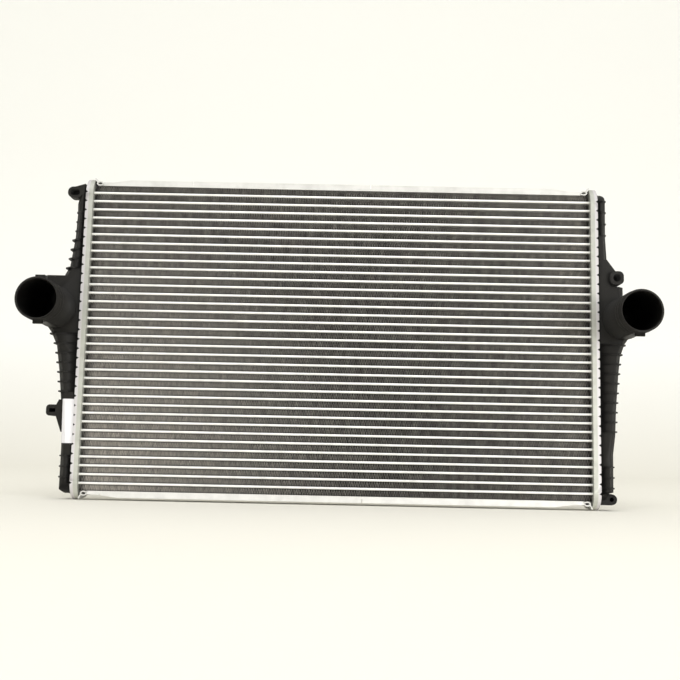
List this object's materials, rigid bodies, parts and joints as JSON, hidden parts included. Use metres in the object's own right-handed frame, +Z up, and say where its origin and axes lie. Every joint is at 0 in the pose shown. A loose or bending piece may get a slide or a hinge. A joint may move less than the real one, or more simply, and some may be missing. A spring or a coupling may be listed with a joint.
{
  "type": "intercooler",
  "caption": "Car intercooler: a brazed aluminium core of flat tubes and folded fins between two black plastic air tanks, each with a hose port facing the front",
  "frame": {"origin": "the upper fixing hole of the right-hand tank, on its axis, at the front face of its lug, where the screw enters", "axes": "+X runs along the tubes to the right as seen from the side that the ports open to, +Y points to the back, away from the ports, +Z is up"},
  "size_m": [0.742, 0.112, 0.397],
  "materials": {
    "tube_metal": "brazed, pale and dull",
    "fin_metal": "thin folded sheet, satin",
    "plate_metal": "brazed, pale and dull",
    "header_metal": "pressed and brazed, pale and dull",
    "gasket_rubber": "moulded, matt",
    "tank_plastic": "moulded nylon with a fine grain",
    "label_film": "blank adhesive film"
  },
  "bodies": {
    "root": {"tube_01": "tube_metal", "tube_02": "tube_metal", "tube_03": "tube_metal", "tube_04": "tube_metal", "tube_05": "tube_metal", "tube_06": "tube_metal", "tube_07": "tube_metal", "tube_08": "tube_metal", "tube_09": "tube_metal", "tube_10": "tube_metal", "tube_11": "tube_metal", "tube_12": "tube_metal", "tube_13": "tube_metal", "tube_14": "tube_metal", "tube_15": "tube_metal", "tube_16": "tube_metal", "tube_17": "tube_metal", "tube_18": "tube_metal", "tube_19": "tube_metal", "tube_20": "tube_metal", "tube_21": "tube_metal", "tube_22": "tube_metal", "tube_23": "tube_metal", "tube_24": "tube_metal", "tube_25": "tube_metal", "tube_26": "tube_metal", "tube_27": "tube_metal", "tube_28": "tube_metal", "tube_29": "tube_metal", "tube_30": "tube_metal", "tube_31": "tube_metal", "tube_32": "tube_metal", "tube_33": "tube_metal", "tube_34": "tube_metal", "tube_35": "tube_metal", "fins": "fin_metal", "side_plate_top": "plate_metal", "side_plate_bottom": "plate_metal", "header_right": "header_metal", "header_left": "header_metal", "gasket_right": "gasket_rubber", "gasket_left": "gasket_rubber", "tank_right": "tank_plastic", "tank_left": "tank_plastic", "label": "label_film"}
  },
  "joints": []
}
